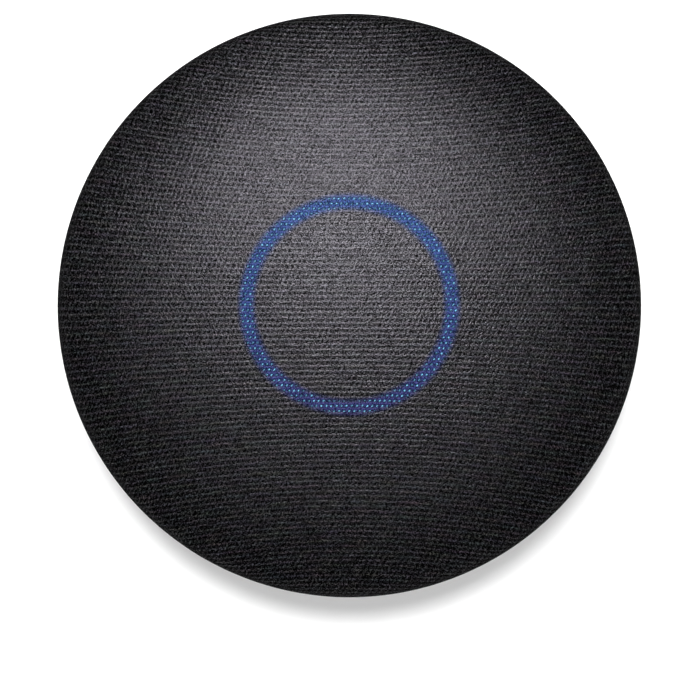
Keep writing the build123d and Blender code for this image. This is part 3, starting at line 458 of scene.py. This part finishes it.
def cover_profile(inset):
    """Points (radius, height, run along the cloth) from the dome's middle to the hem's edge."""
    centre_r, centre_z = COVER_RADIUS - RIM_ROUND, COVER_BOTTOM + RIM_ROUND
    # The dome's arc reaches the cover's top and meets the rim's arc with a common tangent
    rise = COVER_TOP - centre_z
    dome = (centre_r ** 2 + rise ** 2 - RIM_ROUND ** 2) / (2 * (rise - RIM_ROUND))
    meet = math.asin(centre_r / (dome - RIM_ROUND))
    points = []
    for i in range(DOME_STEPS + 1):
        angle = meet * i / DOME_STEPS
        points.append(((dome - inset) * math.sin(angle),
                       COVER_TOP - dome + (dome - inset) * math.cos(angle), dome * angle))
    run = dome * meet
    for i in range(1, RIM_STEPS + 1):
        angle = meet + (math.pi - meet) * i / RIM_STEPS
        points.append((centre_r + (RIM_ROUND - inset) * math.sin(angle),
                       centre_z + (RIM_ROUND - inset) * math.cos(angle),
                       run + RIM_ROUND * (angle - meet)))
    run += RIM_ROUND * (math.pi - meet)
    for share in (0.5, 1.0):
        points.append((centre_r - HEM_WIDTH * share, centre_z - RIM_ROUND + inset,
                       run + HEM_WIDTH * share))
    return points


def weave_place(x, y, reach):
    """Column and row counts at a point of the flat cloth, reach times further out than x, y."""
    x, y = x * reach / COVER_RADIUS, y * reach / COVER_RADIUS
    return (COLUMNS * x * (1 - COLUMNS_ASIDE * y * y + COLUMNS_OUT * x * x),
            ROWS * y * (1 - ROWS_ASIDE * x * x + ROWS_OUT * y * y))


def cloth_cover():
    """The cover as one closed shell of cloth: dome, rolled rim and turned-in hem."""
    outside, inside = cover_profile(0.0), cover_profile(CLOTH_THICK)
    dome_radius, _, dome_run = outside[DOME_STEPS]
    longest = outside[-1][2]
    work = bmesh.new()
    uv = work.loops.layers.uv.new("OFBake")
    weave = work.verts.layers.float_vector.new("weave")
    rings = []
    place = {}
    for index, (radius, height, run) in enumerate(outside + inside[::-1]):
        middle, share = OUTSIDE_PLACE if index < len(outside) else INSIDE_PLACE
        spread = share * (BAKE_HALF * run / longest)
        # Past the dome the flat cloth goes on outwards, while the point on it turns back in
        turned = run > dome_run and radius > 0
        reach = (dome_radius + run - dome_run) / radius if turned else 1.0
        ring = []
        for segment in range(COVER_SEGMENTS if radius > 0 else 1):
            angle = 2 * math.pi * segment / COVER_SEGMENTS
            x, y = radius * math.cos(angle), radius * math.sin(angle)
            vert = work.verts.new((x, y, height))
            vert[weave] = Vector((*weave_place(x, y, reach), 0))
            place[vert] = (middle + spread * math.cos(angle), middle + spread * math.sin(angle))
            ring.append(vert)
        rings.append(ring)
    for ring, after in zip(rings, rings[1:]):
        for k in range(COVER_SEGMENTS):
            a, b = ring[k % len(ring)], ring[(k + 1) % len(ring)]
            c, d = after[(k + 1) % len(after)], after[k % len(after)]
            # At the dome's middle the ring is one point, and the face has three corners
            corners = [a, d, c] if a is b else [a, b, d] if c is d else [a, b, c, d]
            work.faces.new(corners).smooth = True
    bmesh.ops.recalc_face_normals(work, faces=work.faces)
    for face in work.faces:
        for corner in face.loops:
            corner[uv].uv = place[corner.vert]
    mesh = bpy.data.meshes.new("cloth_cover")
    work.to_mesh(mesh)
    work.free()
    mesh.materials.append(cloth_material())
    cover = add_object("cloth_cover", mesh)
    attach(cover, "base")
    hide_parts("fabric_cover")
    2 * longest
    2 * longest
    math.pi * longest ** 2


# ---------------------------------------------------------------------------------------------
# The rings that hold the cone
# ---------------------------------------------------------------------------------------------

def sector_mesh(name, sector, under, over):
    """One closed sector of a ring, whose section lies between its underside and its top."""
    outline = [*under, *over[::-1]]
    count = len(outline)
    pairs = [(i, count - 1 - i) for i in range(len(under))]
    work = bmesh.new()
    rings = []
    for step in range(SECTOR_STEPS + 1):
        angle = 2 * math.pi * (sector - 0.5 + step / SECTOR_STEPS) / SECTORS
        rings.append([work.verts.new((r * MM * math.cos(angle), r * MM * math.sin(angle), z * MM))
                      for r, z in outline])
    for ring, after in zip(rings, rings[1:]):
        for k in range(count):
            n = (k + 1) % count
            work.faces.new((ring[k], after[k], after[n], ring[n])).smooth = True
            # Sharp round the ring, smooth from one step to the next
            work.edges.get((ring[k], after[k])).smooth = False
    for ring in (rings[0], rings[-1]):
        for (low, high), (next_low, next_high) in zip(pairs, pairs[1:]):
            work.faces.new((ring[low], ring[next_low], ring[next_high], ring[high]))
        for k in range(count):
            work.edges.get((ring[k], ring[(k + 1) % count])).smooth = False
    bmesh.ops.recalc_face_normals(work, faces=work.faces)
    mesh = bpy.data.meshes.new(name)
    work.to_mesh(mesh)
    work.free()
    return mesh


def bending_ring(node, under, over):
    """The ring as closed sectors between its flat edges.

    The outer edge lies on the basket, and the inner edge on the cone.
    """
    moving, fixed = over[1][0], over[-2][0]
    finish = nodes[node].data.materials[0]
    for sector in range(SECTORS):
        name = f"{node}_{sector:02d}"
        mesh = sector_mesh(name, sector, under, over)
        mesh.materials.append(finish)
        piece = add_object(name, mesh)
        middle = 2 * math.pi * sector / SECTORS
        outward = Vector((math.cos(middle), math.sin(middle), 0)) * MM
        outward * fixed
        outward * moving
        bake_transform(piece)
        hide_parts(node)


# ---------------------------------------------------------------------------------------------
# Stage: floor, light, camera
# ---------------------------------------------------------------------------------------------

def floor():
    """A plain pale floor under the foot."""
    mesh = bpy.data.meshes.new("floor")
    corners = [(-1, -1), (1, -1), (1, 1), (-1, 1)]
    mesh.from_pydata([(FLOOR_HALF * x, FLOOR_HALF * y, 0) for x, y in corners], [], [(0, 1, 2, 3)])
    plane = add_object("floor", mesh)
    t = Tree("floor_finish", Roughness=0.7)
    t.set("Base_Color", t.grey(FLOOR_SHADE + t.noise(t.position, FLOOR_PATCHES) * FLOOR_SPREAD))
    mesh.materials.append(t.material)


def sun(name, tilt_x, tilt_y, strength, softness):
    """A distant light, tilted from straight down. Tilts and softness are in degrees."""
    light = bpy.data.lights.new(name, "SUN")
    light.energy, light.angle = strength, math.radians(softness)
    lamp = add_object(name, light)
    lamp.rotation_euler = (math.radians(tilt_x), math.radians(tilt_y), 0)
    return lamp


def lighting():
    """Two soft suns and a faint even light. The fill makes no highlights."""
    sun("key", tilt_x=-20.5, tilt_y=-1.5, strength=3.7, softness=22.0)
    sun("fill", tilt_x=0.0, tilt_y=0.0, strength=1.7, softness=8.0).visible_glossy = False
    world = bpy.data.worlds.new("studio")
    world.use_nodes = True
    background = world.node_tree.nodes["Background"]
    background.inputs["Color"].default_value = (1, 1, 1, 1)
    background.inputs["Strength"].default_value = WORLD_STRENGTH
    bpy.context.scene.world = world
    bpy.context.scene.view_settings.view_transform = "Standard"


def camera():
    """Straight down, so that the rim's circle has the size and place that the photograph shows."""
    data = bpy.data.cameras.new("camera")
    frame_width = PHOTO_SIDE * COVER_RADIUS / PHOTO_RADIUS
    data.sensor_width = SENSOR_WIDTH
    data.lens = SENSOR_WIDTH * CAMERA_DISTANCE / frame_width
    data.clip_start, data.clip_end = 0.01, 100
    seen = add_object("camera", data)
    per_pixel = frame_width / PHOTO_SIDE
    rim_plane = COVER_BOTTOM + RIM_ROUND
    seen.location = ((PHOTO_SIDE / 2 - PHOTO_MIDDLE[0]) * per_pixel,
                     (PHOTO_MIDDLE[1] - PHOTO_SIDE / 2) * per_pixel, rim_plane + CAMERA_DISTANCE)
    bpy.context.scene.camera = seen


dress_cad_nodes()
cloth_cover()
bending_ring("surround", ROLL_UNDER, ROLL_OVER)
bending_ring("spider", DISC_UNDER, DISC_OVER)
floor()
lighting()
camera()
